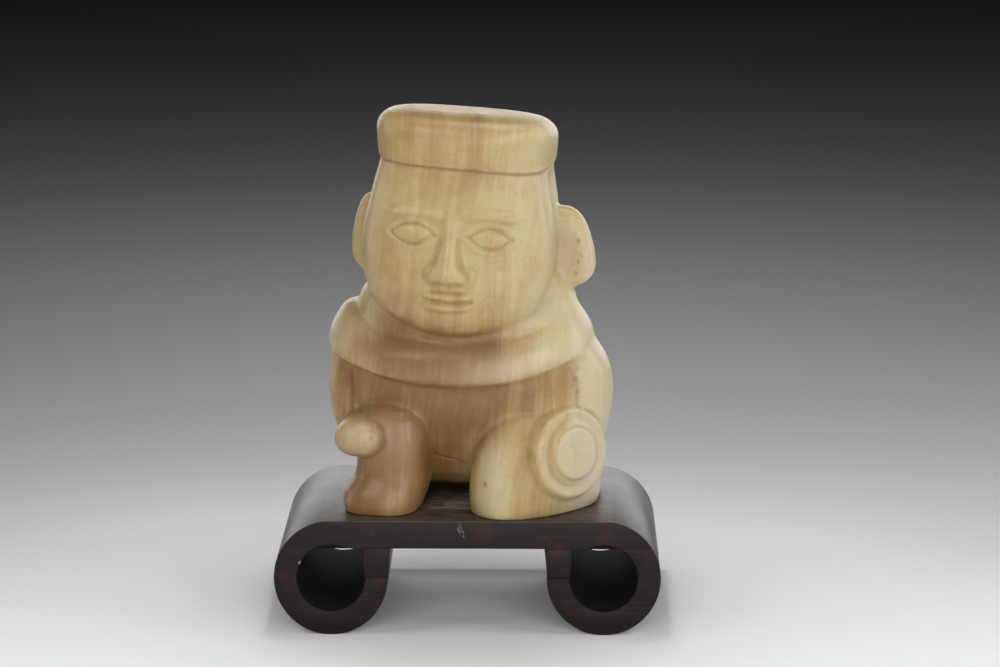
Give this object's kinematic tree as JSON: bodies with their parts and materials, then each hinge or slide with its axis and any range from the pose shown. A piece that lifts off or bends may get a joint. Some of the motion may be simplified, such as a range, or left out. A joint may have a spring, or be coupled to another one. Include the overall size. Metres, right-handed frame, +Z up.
{
  "type": "alabaster idol",
  "caption": "Squat seated stone figure with a flat cap, slab ears, a cape and a round boss on one leg, resting on a low scroll-ended wooden stand.",
  "frame": {"origin": "middle of the stand's footprint, at the surface it stands on", "axes": "+Z up, +X towards the side of the round boss, -Y towards the front that the figure faces"},
  "size_m": [0.112, 0.068, 0.1516],
  "materials": {
    "alabaster": "waxy polish, banded, slightly translucent",
    "lacquered_wood": "dark lacquer, semi-gloss, lightly scratched"
  },
  "bodies": {
    "root": {"idol": "alabaster", "stand_board": "lacquered_wood", "stand_scroll_left": "lacquered_wood", "stand_scroll_right": "lacquered_wood", "stand_block_left": "lacquered_wood", "stand_block_right": "lacquered_wood"}
  },
  "joints": []
}
